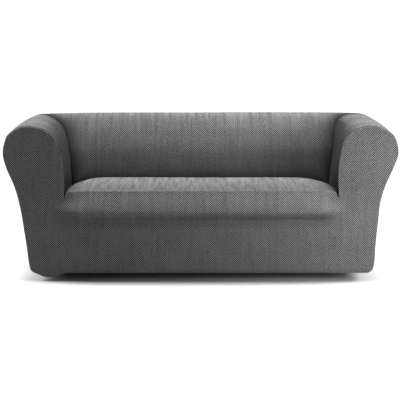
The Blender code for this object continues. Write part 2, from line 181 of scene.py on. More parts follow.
# ---- where shade is painted into the knit's colour: each pair is where a painted shade starts and where it is full
SEAM_REACH = 0.05
VALLEY_REACH = 0.15
HOLLOW_BEHIND = (0.0, 0.05)
HOLLOW_POWER = 1.5
BACK_BEHIND = (0.45, 0.53)
BACK_FACING = (0.0, 0.3)
WALL_FACING = 1.15           # how fast the painted shade on the inside of an arm comes in as it turns inwards
WALL_POWER = 1.4
WALL_BEHIND = (0.0, 0.02)
WALL_RISE = (0.40, 0.45)
EDGE_FACING = (0.3, 0.8)
EDGE_TOP = (0.49, 0.52)      # the seat's front edge lies below this
EDGE_BEHIND = (0.0, 0.40)
FOLD_BELOW = 0.036           # reach of the crease's painted shade under and over it
FOLD_ABOVE = 0.024
FOLD_BEHIND = (-0.010, 0.015)

KNIT = "charcoal_diamond_knit"
LEFT = -1
RIGHT = 1
CREST = dict((row[0], row) for row in BACK_SEAM)["roll_top"]
ORIGIN = np.array((0.0, CREST[6], CREST[7] - THICKNESS))
FLOOR_HEIGHT = -ORIGIN[2]


# ---- smooth curves

def ease(start, end, value):
    """0 before start, 1 after end, smooth between."""
    t = np.clip((value - start) / (end - start), 0.0, 1.0)
    return t * t * (3.0 - 2.0 * t)


def spline(rows, s):
    """Smooth curves through rows of numbers, read at each s, where a whole s is a row."""
    rows = np.array(rows, dtype=float)
    s = np.atleast_1d(s)
    last = len(rows) - 1
    i = np.minimum(s.astype(int), last - 1)
    t = (s - i)[:, None]
    a, b, c, d = rows[np.maximum(i - 1, 0)], rows[i], rows[i + 1], rows[np.minimum(i + 2, last)]
    slope_b = (c - a) / 2.0
    slope_c = (d - b) / 2.0
    turn = 3.0 * (c - b) - 2.0 * slope_b - slope_c
    twist = 2.0 * (b - c) + slope_b + slope_c
    return b + t * (slope_b + t * (turn + t * twist))


def finer(shares):
    """The same list of shares with FINENESS steps for each of its steps."""
    count = len(shares) - 1
    return np.interp(np.arange(count * FINENESS + 1) / FINENESS, np.arange(count + 1), shares)


def arm_stations():
    """Where along the arm's lines its faces have corners, and the step at each named place."""
    stations = []
    step_of = {}
    for i, (place, steps, *_) in enumerate(ARM_FRONT):
        step_of[place] = len(stations)
        stations += [i + k / steps for k in range(steps)] or [float(i)]
    return finer(stations), step_of


STATIONS, AT = arm_stations()
STEP = np.arange(len(STATIONS)) / FINENESS   # station number in steps of the solids
LAST = len(STATIONS) - 1
SHOULDER = AT["inner_shoulder"] * FINENESS
OUTER = AT["outer_shoulder"] * FINENESS
REAR_CORNER = AT["rear_corner"] * FINENESS
ACROSS = COLUMNS * FINENESS


def depth_shares():
    """Rows from the front seam to the rear seam, closer together near both."""
    length = REAR_PLANE - 2.0 * RIM_RADIUS
    near = np.array(NEAR_SEAM) / length
    middle = np.linspace(near[-1], 1.0 - near[-1], DEPTH_ROWS)
    return np.concatenate([near[:-1], middle, 1.0 - near[-2::-1]])


DEPTHS = depth_shares()


# ---- the seam lines that panels share

def points(x, y, z):
    x, y, z = np.broadcast_arrays(x, y, z)
    return np.stack([x, y, z], axis=-1).astype(float)


def arm_front(side):
    """The arm's front seam at every station."""
    z, left_x, right_x = spline([row[2:] for row in ARM_FRONT], STATIONS).T
    return points(-left_x if side == LEFT else right_x, RIM_RADIUS, z)


def back_seam(side):
    """The seam between an arm and the back, from the valley to the rear corner."""
    sizes = spline([row[1:] for row in BACK_SEAM], STATIONS[:REAR_CORNER + 1])
    left_x, left_z, right_x, right_z, y, _, _ = sizes.T
    if side == LEFT:
        return points(-left_x, y, left_z)
    return points(right_x, y, right_z)


def arm_rear(side):
    """Where the arm panel ends at every station: on the back, then at the rear."""
    front = arm_front(side)
    upper = back_seam(side)
    full = REAR_FULLNESS * (1.0 - ease(AT["outer_shoulder"], AT["under_roll"], STEP))
    rear = points(front[:, 0], REAR_PLANE - RIM_RADIUS, front[:, 2] + full)
    meet = upper[-1] - rear[REAR_CORNER]
    fade = 1.0 - ease(AT["rear_corner"], AT["outer_shoulder"], STEP)
    rear += meet * fade[:, None]
    rear[:REAR_CORNER + 1] = upper
    return rear


def valley_rise(v):
    """How far the seat's valley lies above a straight line, at share v of the way back."""
    return VALLEY_RISE * ease(0.0, VALLEY_FULL, v) * np.maximum(1.0 - v, 0.0) ** VALLEY_FALL


def arm_grid(side):
    """Points of the arm panel: a row for each station, a column for each depth."""
    v = DEPTHS[None, :, None]
    grid = arm_front(side)[:, None] * (1.0 - v) + arm_rear(side)[:, None] * v
    low = np.clip(1.0 - STEP / AT["inside_low"], 0.0, 1.0)
    grid[..., 2] += low[:, None] * valley_rise(DEPTHS)
    rise = ease(AT["inner_shoulder"], AT["roll_rise"], STEP)
    rise *= 1.0 - ease(AT["rear_corner"], AT["under_roll"], STEP)
    bulge = np.sin(pi * DEPTHS)
    grid[..., 2] += ROLL_SWELL * rise[:, None] * bulge
    below = np.sin(pi * np.clip((STEP - AT["widest"]) / (STEP[-1] - AT["widest"]), 0.0, 1.0))
    grid[..., 0] -= side * WALL_SLACK * below[:, None] * bulge
    return grid


ARM_GRIDS = {side: arm_grid(side) for side in (LEFT, RIGHT)}


def column_shares():
    """Columns across, from -1 at the left arm to 1 at the right, crowded at the arms."""
    u = np.linspace(-1.0, 1.0, ACROSS + 1)
    share = (1.0 - COLUMN_CROWDING) * u + COLUMN_CROWDING * np.sin(pi * u / 2.0)
    share[0], share[-1] = -1.0, 1.0
    return share


SHARES = column_shares()


def across(left, right):
    """For a pair of points, the nearer arm's at every column."""
    return np.where((SHARES < 0)[:, None], left, right)


def side_share(x, edge):
    """0 over the flat middle, rising to 1 at the arm."""
    return np.clip((np.abs(x) - SEAT_FLAT) / (np.abs(edge) - SEAT_FLAT), 0.0, 1.0)


def hem_height(x):
    dip = HEM_DIP * (1.0 - ease(HEM_DIP_FLAT, 1.0, np.abs(x - HEM_DIP_PLACE) / HEM_DIP_HALF))
    return HEM_HEIGHT - dip


def crease_height(x):
    wave = CREASE_WAVE * np.sin(CREASE_WAVE_TURN * x + CREASE_WAVE_START)
    return CREASE_HEIGHT + wave + CREASE_LIFT * ease(*CREASE_LIFT_SPAN, np.abs(x))


def cushion_fade(x, z):
    """1 over the cushion's front, dying out at the arms, further out where it is fullest."""
    out = CUSHION_SPREAD * (1.0 - ease(*CUSHION_SPREAD_TOP, z))
    return 1.0 - ease(CUSHION_FULL, CUSHION_END, np.abs(x) - out)


def front_depth(x, z):
    """How far back the face of the front panel lies at (x, z). Forwards is negative."""
    fade = cushion_fade(x, z)
    rise = np.clip((z - CUSHION_MIDDLE) / CUSHION_RISE, 0.0, 1.0)
    tuck = np.clip((CUSHION_MIDDLE - z) / CUSHION_TUCK, 0.0, 1.0)
    swell = CUSHION_SWELL * (0.5 + 0.5 * np.cos(pi * tuck) - rise ** CUSHION_LEAN) * fade
    crease = CREASE_DEPTH * np.exp(-((z - crease_height(x)) / CREASE_WIDTH) ** 2) * fade
    wide = (np.abs(x) - ARM_END_PLACE) / ARM_END_HALF_WIDTH
    high = (z - ARM_END_HEIGHT) / ARM_END_HALF_HEIGHT
    curl = HEM_CURL * (1.0 - ease(0.0, HEM_CURL_RISE, z - hem_height(x)))
    return crease + curl - swell - ARM_END_SWELL * np.clip(1.0 - wide ** 2 - high ** 2, 0.0, 1.0)


def from_arm_to_arm(left, right, y, z, lateness):
    """A row of points at y and z over the flat middle, falling to a point on either arm."""
    edge = across(left, right)
    x = np.abs(SHARES) * edge[:, 0]
    fall = side_share(x, edge[:, 0]) ** lateness
    row = points(x, y + (edge[:, 1] - y) * fall, z + (edge[:, 2] - z) * fall)
    row[0], row[-1] = left, right
    return row


def seat_front():
    """Seam between seat and front panel."""
    left, right = ARM_GRIDS[LEFT][0, 0], ARM_GRIDS[RIGHT][0, 0]
    seam = from_arm_to_arm(left, right, RIM_RADIUS, SEAT_HEIGHT, FALL_FRONT)
    inner = seam[1:-1]
    inner[:, 1] = front_depth(inner[:, 0], inner[:, 2] - RIM_RADIUS) + RIM_RADIUS
    return seam


def crest_grid():
    """Points of the inside back: a row for each station up it and over its crest."""
    middle = spline([row[6:] for row in BACK_SEAM], STATIONS[:REAR_CORNER + 1])
    ends = zip(back_seam(LEFT), back_seam(RIGHT), middle)
    return np.array([
        from_arm_to_arm(left, right, y, z, FALL_REAR) for left, right, (y, z) in ends])


CREST_GRID = crest_grid()


def rear_depth(x, z):
    """How far back the face of the outside back lies at (x, z): flat, a little bowed."""
    bow = REAR_BOW * np.clip(1.0 - (x / REAR_BOW_HALF) ** 2, 0.0, 1.0)
    bow *= np.sin(pi * np.clip((z - HEM_HEIGHT) / REAR_BOW_RISE, 0.0, 1.0))
    return REAR_PLANE + bow - REAR_CURL * (1.0 - ease(0.0, HEM_CURL_RISE, z - HEM_HEIGHT))


def edge_path(left, middle, right):
    return np.concatenate([left, middle[1:-1], right])


FRONT_PATH = edge_path(arm_front(LEFT)[::-1], seat_front(), arm_front(RIGHT))
REAR_PATH = edge_path(
    arm_rear(LEFT)[:REAR_CORNER - 1:-1], CREST_GRID[-1], arm_rear(RIGHT)[REAR_CORNER:])
TURNED_SEAMS = (FRONT_PATH[:LAST + 1], FRONT_PATH[-LAST - 1:], REAR_PATH)
VALLEYS = (
    ARM_GRIDS[LEFT][0], ARM_GRIDS[RIGHT][0], CREST_GRID[0], back_seam(LEFT), back_seam(RIGHT))


# ---- patches: a grid of points with the cloth's grain at each

def patch(grid, grain, flip=False):
    return {"grid": grid, "grain": grain, "flip": flip}


def flat_grain(grid):
    """Grain that runs level and upright, as on a panel cut for a wall."""
    return grid[..., [0, 2]]


def run_lengths(grid):
    """Length along each column of a grid from its first row."""
    steps = np.linalg.norm(np.diff(grid, axis=0), axis=-1)
    return np.concatenate([np.zeros((1, grid.shape[1])), np.cumsum(steps, axis=0)])


def outward(path):
    """Unit normals of a path in the x-z plane, on the left of its direction."""
    count = len(path) - 1
    place = np.arange(count + 1)
    normal = np.zeros_like(path)
    for start, end in ((place - FINENESS, place), (place, place + FINENESS)):
        leg = path[np.clip(end, 0, count)] - path[np.clip(start, 0, count)]
        length = np.maximum(np.hypot(leg[:, 0], leg[:, 2]), 1e-9)
        normal[:, 0] -= leg[:, 2] / length
        normal[:, 2] += leg[:, 0] / length
    normal[0] = (-1.0, 0.0, 0.0)
    normal[-1] = (1.0, 0.0, 0.0)
    return normal / np.linalg.norm(normal, axis=1)[:, None]


def rim(path, depth_at):
    """Rows from the flat face (first) round to the seam (last) along an edge, and their grain."""
    normal = outward(path)
    flat = path - normal * RIM_RADIUS
    flat[:, 1] = depth_at(flat[:, 0], flat[:, 2])
    reach = path - flat
    back = reach * (0.0, 1.0, 0.0)
    rows = []
    grain = []
    for angle in np.linspace(0.0, pi / 2.0, RIM_TURNS + 1):
        rows.append(flat + (reach - back) * np.sin(angle) + back * (1.0 - np.cos(angle)))
        grain.append((flat + normal * RIM_RADIUS * angle)[:, [0, 2]])
    rows[-1] = path
    return np.array(rows), np.array(grain)


def filled(bottom, top, first, last):
    """Grid of points filling four edges. bottom and top run across, first and last run up."""
    u = np.linspace(0.0, 1.0, len(bottom))[None, :, None]
    v = np.linspace(0.0, 1.0, len(first))[:, None, None]
    grid = bottom * (1 - v) + top * v + first[:, None] * (1 - u) + last[:, None] * u
    grid -= (bottom[0] * (1 - u) + bottom[-1] * u) * (1 - v)
    grid -= (top[0] * (1 - u) + top[-1] * u) * v
    grid[0], grid[-1] = bottom, top
    grid[:, 0], grid[:, -1] = first, last
    return grid


def laid_on(grid, depth_at):
    """The grid with its depth read from the face, but for its edges."""
    inner = grid[1:-1, 1:-1]
    inner[..., 1] = depth_at(inner[..., 0], inner[..., 2])
    return grid


def front_columns(inset):
    """Points up the front between the arms, a column under each point of the inset edge."""
    x = inset[:, 0]
    hem = hem_height(x)
    crease = crease_height(x)
    rows = [hem + (crease - hem) * share for share in finer(APRON_ROWS)]
    rows += [crease + (inset[:, 2] - crease) * share for share in finer((0.0,) + CUSHION_ROWS)[1:]]
    z = np.array(rows)
    grid = points(x, front_depth(x, z), z)
    grid[-1] = inset
    return grid


def front_patches():
    rows, rim_grain = rim(FRONT_PATH, front_depth)
    inset = rows[0]
    middle = front_columns(inset[LAST:LAST + ACROSS + 1])
    patches = [patch(middle, flat_grain(middle)), patch(rows, rim_grain)]
    for side, corner, inner in (
        (LEFT, LAST, middle[:, 0]),
        (RIGHT, LAST + ACROSS, middle[:, -1]),
    ):
        on_arm = inset[corner::side][:LAST + 1]
        first = np.concatenate([inner, on_arm[1:SHOULDER + 1]])
        last = on_arm[:OUTER - 1:-1]
        x = np.linspace(first[0, 0], last[0, 0], OUTER - SHOULDER + 1)
        z = hem_height(x)
        bottom = points(x, front_depth(x, z), z)
        bottom[0], bottom[-1] = first[0], last[0]
        grid = laid_on(filled(bottom, on_arm[SHOULDER:OUTER + 1], first, last), front_depth)
        patches.append(patch(grid, flat_grain(grid), flip=side == LEFT))
    return patches


def arm_patches(side):
    grid = ARM_GRIDS[side]
    grain = np.stack([grid[..., 1], run_lengths(grid)], axis=-1)
    return [patch(grid, grain, flip=side == RIGHT)]


def seat_patches():
    front = FRONT_PATH[LAST:LAST + ACROSS + 1]
    rear = CREST_GRID[0]
    rows = []
    for v, left, right in zip(DEPTHS, ARM_GRIDS[LEFT][0], ARM_GRIDS[RIGHT][0]):
        lateness = FALL_MIDDLE + (FALL_FRONT - FALL_MIDDLE) * (1.0 - v) ** FALL_SHIFT
        lateness -= (FALL_MIDDLE - FALL_REAR) * ease(*FALL_REAR_SPAN, v)
        top = SEAT_HEIGHT + SEAT_CROWN * np.sin(pi * v * SEAT_CROWN_TURN)
        top -= CREVICE * ease(*CREVICE_SPAN, v)
        row = from_arm_to_arm(left, right, 0.0, top, lateness)
        row[1:-1, 1] = (front + (rear - front) * v)[1:-1, 1]
        rows.append(row)
    rows[0], rows[-1] = front, rear
    grid = np.array(rows)
    return [patch(grid, grid[..., [0, 1]])]


def inside_back_patches():
    grain = np.stack([CREST_GRID[..., 0], run_lengths(CREST_GRID)], axis=-1)
    return [patch(CREST_GRID, grain)]


def outside_back_patches():
    rows, rim_grain = rim(REAR_PATH, rear_depth)
    inset = rows[0]
    up = LAST - OUTER
    top = inset[up:len(inset) - up]
    first = inset[:up + 1]
    last = inset[::-1][:up + 1]
    share = np.linspace(0.0, 1.0, len(top))[:, None]
    bottom = first[0] * (1.0 - share) + last[0] * share
    bottom[1:-1, 1] = rear_depth(bottom[1:-1, 0], bottom[1:-1, 2])
    grid = laid_on(filled(bottom, top, first, last), rear_depth)
    return [patch(grid, flat_grain(grid), flip=True), patch(rows, rim_grain, flip=True)]


PANELS = {
    "front_panel": front_patches,
    "seat_panel": seat_patches,
    "inside_back_panel": inside_back_patches,
    "outside_back_panel": outside_back_patches,
    "arm_panel_left": lambda: arm_patches(LEFT),
    "arm_panel_right": lambda: arm_patches(RIGHT),
}


# ---- from patches to one skin for each panel

def grid_faces(rows, columns, start, flip):
    index = start + np.arange(rows * columns).reshape(rows, columns)
    corners = [index[:-1, :-1], index[:-1, 1:], index[1:, 1:], index[1:, :-1]]
    if flip:
        corners.reverse()
    return np.stack(corners, axis=-1).reshape(-1, 4)


def place_keys(vertices):
    return np.round(vertices / KEY_STEP).astype(np.int64)


def skin(patches):
    """One welded surface of quads: vertices, faces and grain."""
    vertices = np.concatenate([p["grid"].reshape(-1, 3) for p in patches])
    grain = np.concatenate([p["grain"].reshape(-1, 2) for p in patches])
    faces = []
    start = 0
    for p in patches:
        rows, columns = p["grid"].shape[:2]
        faces.append(grid_faces(rows, columns, start, p["flip"]))
        start += rows * columns
    _, first, merged = np.unique(
        place_keys(vertices), axis=0, return_index=True, return_inverse=True)
    faces = merged.reshape(-1)[np.concatenate(faces)]
    return {"vertices": vertices[first], "faces": faces, "grain": grain[first]}


def own_normals(surface):
    corners = surface["vertices"][surface["faces"]]
    normal = np.cross(corners[:, 2] - corners[:, 0], corners[:, 3] - corners[:, 1])
    total = np.zeros_like(surface["vertices"])
    for k in range(4):
        np.add.at(total, surface["faces"][:, k], normal)
    return total / np.maximum(np.linalg.norm(total, axis=1), 1e-12)[:, None]


def join_surfaces(surfaces):
    """Gives every surface the normals that its neighbours share, and marks its seam corners."""
    keys = np.concatenate([place_keys(s["vertices"]) for s in surfaces.values()])
    counts = [len(s["vertices"]) for s in surfaces.values()]
    owner = np.repeat(np.arange(len(surfaces)), counts)
    own = np.concatenate([own_normals(s) for s in surfaces.values()])
    _, place = np.unique(keys, axis=0, return_inverse=True)
    place = place.reshape(-1)
    total = np.zeros((place.max() + 1, 3))
    np.add.at(total, place, own)
    low = np.full(place.max() + 1, len(surfaces))
    high = np.zeros(place.max() + 1, dtype=int)
    np.minimum.at(low, place, owner)
    np.maximum.at(high, place, owner)
    total /= np.linalg.norm(total, axis=1)[:, None]
    for k, surface in enumerate(surfaces.values()):
        mine = place[owner == k]
        surface["normals"] = total[mine]
        surface["lean"] = np.sum(total[mine] * own[owner == k], axis=1)
        surface["on_seam"] = low[mine] < high[mine]


def search_tree(places):
    """For finding the nearest of many places."""
    tree = KDTree(len(places))
    for i, place in enumerate(places):
        tree.insert(place, i)
    tree.balance()
    return tree


def distances(vertices, lines, reach):
    """Distance from each vertex to the nearest of the lines, up to reach."""
    places = []
    for line in lines:
        places += [line[:-1] * (1.0 - share) + line[1:] * share for share in (0.0, 0.25, 0.5, 0.75)]
    tree = search_tree(np.concatenate(places))
    return np.array([min(tree.find(vertex)[2], reach) for vertex in vertices])


def inner_wall(vertices, normals):
    """Mask of the painted shade on the inside of the arms: 1 there, fading out over the roll."""
    inward = np.clip(-WALL_FACING * np.sign(vertices[:, 0]) * normals[:, 0], 0.0, 1.0)
    shade = inward ** WALL_POWER * ease(*WALL_BEHIND, vertices[:, 1])
    return shade * ease(*WALL_RISE, vertices[:, 2])


def seat_edge(vertices, normals):
    """Mask of the painted shade on the seat: 1 along its front, fading out towards its back."""
    level = ease(*EDGE_FACING, normals[:, 2]) * (1.0 - ease(*EDGE_TOP, vertices[:, 2]))
    return level * (1.0 - ease(*EDGE_BEHIND, vertices[:, 1]))


def front_crease(vertices):
    """Mask of the painted shade in the crease under the cushion: 1 in it, fading away from it, for
    points on the front.
    """
    x, y, z = vertices.T
    away = z - crease_height(x)
    reach = np.where(away < 0.0, FOLD_BELOW, FOLD_ABOVE)
    fold = np.exp(-(away / reach) ** 2) * cushion_fade(x, z)
    return fold * (1.0 - ease(*FOLD_BEHIND, y))


def unevenness(vertices, cloth):
    """Slow swells of the padding under the cloth, the same for panels that meet."""
    swell = []
    for vertex in vertices:
        place = Vector(vertex) * cloth.swell_scale
        small = noise.noise(place * SMALL_SWELL_SCALE)
        swell.append(noise.noise(place) + SMALL_SWELL * small)
    return np.array(swell) * cloth.swell_height


def finish_surface(surface, cloth):
    """Moves a joined surface to its last shape, and works out what the knit needs: its painted
    shade and how level it lies.
    """
    vertices = surface["vertices"]
    normals = surface["normals"]
    seam = distances(vertices, TURNED_SEAMS, SEAM_REACH)
    valley = distances(vertices, VALLEYS, VALLEY_REACH)
    # painted shade masks: the hollow towards the tucks, and the back darkening down towards the
    # seat
    hollow = np.exp(-(valley / cloth.hollow_width) ** HOLLOW_POWER)
    hollow *= ease(*HOLLOW_BEHIND, vertices[:, 1])
    depth = 1.0 - ease(SEAT_HEIGHT, cloth.depth_top, vertices[:, 2])
    depth *= ease(*BACK_BEHIND, vertices[:, 1]) * ease(*BACK_FACING, -normals[:, 1])
    groove = cloth.seam_depth * np.exp(-(seam / cloth.seam_width) ** 2)
    lift = unevenness(vertices, cloth) - groove
    # painted shade: each of these darkens the knit's colour where shade falls, along the seams, in
    # the tucks and the hollows towards them, down the back, in the crease, on the arms' inside and
    # at the seat's front
    shades = (
        cloth.seam_shade * np.exp(-(seam / cloth.seam_shade_width) ** 2),
        cloth.valley_shade * np.exp(-(valley / cloth.valley_width) ** 2),
        cloth.hollow_shade * hollow,
        cloth.depth_shade * depth,
        cloth.crease_shade * front_crease(vertices),
        cloth.wall_shade * inner_wall(vertices, normals),
        cloth.edge_shade * seat_edge(vertices, normals),
    )
    light = np.ones(len(vertices))
    for shade in shades:
        light *= 1.0 - shade
    surface["shade"] = 1.0 - light
    # how level the cloth lies: the knit paints more light yarn where it is level, as painted light
    # from above, and strengthens its streaks there
    surface["level"] = np.clip(normals[:, 2], 0.0, 1.0) ** 2
    surface["vertices"] = vertices + normals * lift[:, None]
    part_from_seams(surface)


def part_from_seams(surface):
    """Draws the seam corners back from the seam line by half the gap."""
    vertices = surface["vertices"]
    inner = np.zeros_like(vertices)
    count = np.zeros(len(vertices))
    for k in range(4):
        a = surface["faces"][:, k]
        for b in (surface["faces"][:, (k + 1) % 4], surface["faces"][:, (k + 2) % 4]):
            for start, end in ((a, b), (b, a)):
                use = surface["on_seam"][start] & ~surface["on_seam"][end]
                np.add.at(inner, start[use], vertices[end[use]])
                np.add.at(count, start[use], 1.0)
    moved = count > 0
    pull = inner[moved] / count[moved][:, None] - vertices[moved]
    pull /= np.maximum(np.linalg.norm(pull, axis=1), 1e-9)[:, None]
    vertices[moved] += pull * SEAM_GAP / 2.0


def border_edges(faces):
    """Edges that only one face has, in that face's direction."""
    edges = np.concatenate([faces[:, [k, (k + 1) % 4]] for k in range(4)])
    low_high = np.sort(edges, axis=1)
    _, first, count = np.unique(low_high, axis=0, return_index=True, return_counts=True)
    return edges[first[count == 1]]


def new_object(name, data):
    """An object with this data, in the scene."""
    item = bpy.data.objects.new(name, data)
    bpy.context.scene.collection.objects.link(item)
    return item


def sheet_object(name, surface, material):
    """A closed sheet with both skins, from one finished surface."""
    count = len(surface["vertices"])
    depth = THICKNESS / np.maximum(surface["lean"], LEAST_LEAN)
    under = surface["vertices"] - surface["normals"] * depth[:, None]
    vertices = np.concatenate([surface["vertices"], under]) - ORIGIN
    start, end = border_edges(surface["faces"]).T
    wall = np.stack([end, start, start + count, end + count], axis=1)
    faces = np.concatenate([surface["faces"], surface["faces"][:, ::-1] + count, wall])
    mesh = bpy.data.meshes.new(name)
    mesh.from_pydata(vertices.tolist(), [], faces.tolist())
    grain = np.tile(surface["grain"], (2, 1))[faces.ravel()].astype(np.float32)
    mesh.uv_layers.new(name="Grain").uv.foreach_set("vector", grain.ravel())
    for title in ("shade", "level"):
        values = np.tile(surface[title], 2).astype(np.float32)
        mesh.attributes.new(title, "FLOAT", "POINT").data.foreach_set("value", values)
    mesh.validate()
    mesh.shade_smooth()
    mesh.set_sharp_from_angle(angle=radians(SHARP_ANGLE))
    mesh.materials.append(material)
    return new_object(name + "_knit", mesh)


SURFACES = {}


def finished_surface(name):
    """The named panel's surface, worked out with all the others, because they share seams."""
    if not SURFACES:
        for title, patches in PANELS.items():
            SURFACES[title] = skin(patches())
        join_surfaces(SURFACES)
        for surface in SURFACES.values():
            finish_surface(surface, bpy.context.scene.slipcover_cloth)
    return SURFACES[name]


# ---- the knit

class NodeSheet:
    """Short ways to add and join the shader nodes of a material or a world."""

    def __init__(self, owner, shader):
        owner.use_nodes = True
        self.tree = owner.node_tree
        self.shader = self.tree.nodes[shader]

    def add(self, kind, **values):
        node = self.tree.nodes.new(kind)
        for name, value in values.items():
            setattr(node, name, value)
        return node

    def put(self, socket, value):
        if isinstance(value, bpy.types.NodeSocket):
            self.tree.links.new(value, socket)
        else:
            socket.default_value = value

    def fill(self, node, values):
        """Puts each value on the node's input of that name."""
        for name, value in values.items():
            self.put(node.inputs[name], value)

    def math(self, operation, *inputs):
        node = self.add("ShaderNodeMath", operation=operation)
        for socket, value in zip(node.inputs, inputs):
            self.put(socket, value)
        return node.outputs[0]

    def wave(self, place, period):
        """A sine wave along place, with this period."""
        return self.math("SINE", self.math("MULTIPLY_ADD", place, 2.0 * pi / period, 0.0))

    def noise(self, place, scale, detail):
        node = self.add("ShaderNodeTexNoise")
        self.fill(node, {"Vector": place, "Scale": scale, "Detail": detail})
        return node.outputs["Fac"]

    def uneven(self, place, scale, detail):
        """Noise about zero."""
        return self.math("SUBTRACT", self.noise(place, scale, detail), 0.5)

    def by_level(self, upright, more):
        """upright where the cloth stands, and more on top of it where the cloth lies."""
        level = self.add("ShaderNodeAttribute", attribute_name="level").outputs["Fac"]
        return self.math("MULTIPLY_ADD", level, more, upright)

    def blend(self, factor, first, second):
        node = self.add("ShaderNodeMixRGB")
        self.fill(node, {"Fac": factor, "Color1": first, "Color2": second})
        return node.outputs["Color"]


def opaque(colour):
    return (*colour, 1.0)


def knit_material(cloth):
    """Diamonds of light and dark yarn, with leaning yarns in upright bands, specks and streaks."""
    material = bpy.data.materials.new(KNIT)
    sheet = NodeSheet(material, "Principled BSDF")
    grain = sheet.add("ShaderNodeUVMap", uv_map="Grain").outputs["UV"]
    place = sheet.add("ShaderNodeSeparateXYZ")
    sheet.put(place.inputs[0], grain)
    stray = sheet.uneven(grain, cloth.wander_scale, 1.0)
    across_cloth = sheet.math("MULTIPLY_ADD", stray, cloth.wander, place.outputs["X"])
    along_cloth = sheet.math("MULTIPLY_ADD", stray, -cloth.wander, place.outputs["Y"])
    columns, rows = (sheet.wave(way, cloth.diamond_size) for way in (across_cloth, along_cloth))
    diamonds = sheet.math("MULTIPLY", columns, rows)
    bands = sheet.math("SIGN", sheet.wave(across_cloth, cloth.band_width))
    lean = sheet.math("MULTIPLY", bands, along_cloth)
    twill = sheet.wave(sheet.math("ADD", across_cloth, lean), cloth.yarn_width)
    specks = sheet.uneven(grain, cloth.speck_scale, 3.0)
    patches = sheet.uneven(grain, cloth.patch_scale, 2.0)
    strand = sheet.add("ShaderNodeCombineXYZ")
    short = sheet.math("MULTIPLY", along_cloth, cloth.streak_stretch)
    sheet.fill(strand, {"X": across_cloth, "Y": short})
    streaks = sheet.uneven(strand.outputs["Vector"], cloth.streak_scale, 2.0)
    unevenly = sheet.math("MULTIPLY_ADD", patches, cloth.patch_relief, 1.0)
    diamonds = sheet.math("MULTIPLY", diamonds, unevenly)
    # painted light: cloth that lies level gets more light yarn, standing in for the light that
    # falls on it from above
    light = sheet.by_level(cloth.tone_upright, cloth.painted_top_light)
    for pattern, contrast in (
        (diamonds, cloth.diamond_contrast),
        (twill, cloth.twill_contrast),
        (specks, cloth.speck_contrast),
        (patches, cloth.patch_contrast),
        (streaks, sheet.by_level(cloth.streak_upright, cloth.streak_level)),
    ):
        light = sheet.math("MULTIPLY_ADD", pattern, contrast, light)
    colour = sheet.blend(light, opaque(cloth.dark_yarn), opaque(cloth.light_yarn))
    # painted shade: the colour is darkened by the shade attribute towards the colour of painted
    # shade
    shade = sheet.add("ShaderNodeAttribute", attribute_name="shade").outputs["Fac"]
    colour = sheet.blend(shade, colour, opaque(cloth.painted_shade_colour))

    height = sheet.math("MULTIPLY_ADD", twill, cloth.twill_relief, diamonds)
    height = sheet.math("MULTIPLY_ADD", specks, cloth.speck_relief, height)
    bump = sheet.add("ShaderNodeBump")
    sheet.fill(bump, {
        "Strength": cloth.bump_strength,
        "Distance": cloth.bump_height,
        "Height": height,
    })
    sheet.fill(sheet.shader, {
        "Base Color": colour,
        "Normal": bump.outputs["Normal"],
        "Roughness": 0.92,
        "Specular IOR Level": 0.1,
        "Sheen Weight": cloth.sheen,
        "Sheen Roughness": 0.55,
    })
    return material


def make_panel(node):
    material = bpy.data.materials.get(KNIT) or knit_material(bpy.context.scene.slipcover_cloth)
    piece = sheet_object(node, finished_surface(node), material)
    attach(piece, "root")
    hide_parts(node)


# ---- settings

def number(name, description, default, **more):
    return FloatProperty(name=name, description=description, default=default, **more)


def metres(name, description, default):
    return number(name, description, default, unit="LENGTH", precision=4)


def triple(name, description, default, subtype):
    return FloatVectorProperty(
        name=name, description=description, default=default, subtype=subtype)


def tint(name, description, default):
    return triple(name, description, default, "COLOR")


